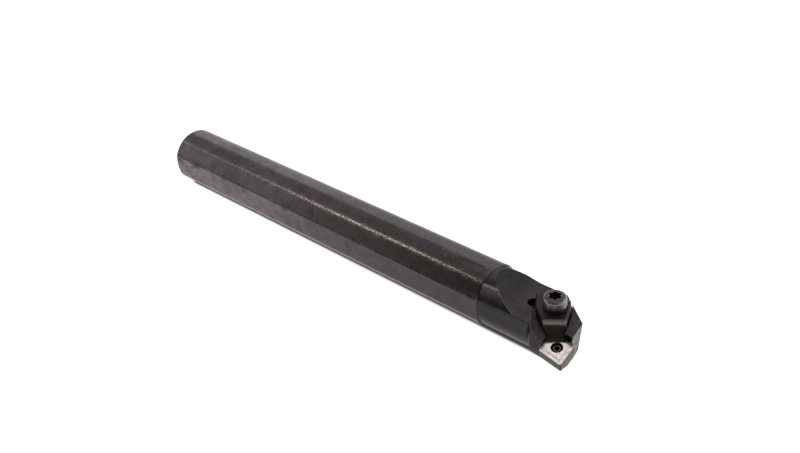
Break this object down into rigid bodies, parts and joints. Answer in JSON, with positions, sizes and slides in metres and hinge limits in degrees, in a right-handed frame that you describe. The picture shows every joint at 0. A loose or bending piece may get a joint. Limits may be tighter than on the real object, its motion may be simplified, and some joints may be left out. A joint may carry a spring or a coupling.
{
  "type": "boring bar",
  "caption": "Round-shank boring bar with clamping flats and a diamond carbide insert held by a lock pin and a top clamp, left hand.",
  "frame": {"origin": "on the bar's axis at the middle of the round shank", "axes": "+X along the bar to the cutting end, +Z the side the insert's top faces (up, as the bar lies on its lower flat), the cutting nose on the -Y side"},
  "size_m": [0.2999, 0.038, 0.0319],
  "materials": {
    "black_oxide_steel": "black-oxide alloy steel, worn",
    "clamp_steel": "browned hardened steel",
    "screw_steel": "dark bright-edged steel",
    "carbide": "bare ground carbide",
    "shim_carbide": "dull ground carbide",
    "pin_steel": "oily dark steel"
  },
  "bodies": {
    "holder": {"bar": "black_oxide_steel", "shim": "shim_carbide", "insert": "carbide"},
    "clamp_body": {"clamp": "clamp_steel"},
    "clamp_screw_body": {"clamp_screw": "screw_steel"},
    "lock_pin_body": {"lock_pin": "pin_steel"}
  },
  "joints": [
    {"name": "clamp_lift", "type": "slide", "parent": "holder", "child": "clamp_body", "axis": [0, 0, 1], "range_m": [0, 0.003]},
    {"name": "clamp_screw_turn", "type": "hinge", "parent": "clamp_body", "child": "clamp_screw_body", "pos_m": [0.15875, -0.0004, 0], "axis": [0, 0, 1], "range_deg": [0, 1080]},
    {"name": "lock_pin_turn", "type": "hinge", "parent": "holder", "child": "lock_pin_body", "pos_m": [0.17001, -0.01426, -0.00274], "axis": [0.1023, -0.2068, 0.973], "range_deg": [0, 150]}
  ],
  "couplings": [
    {"joint": "clamp_screw_turn", "follows": "clamp_lift", "rad_per_m": 6283.2}
  ]
}
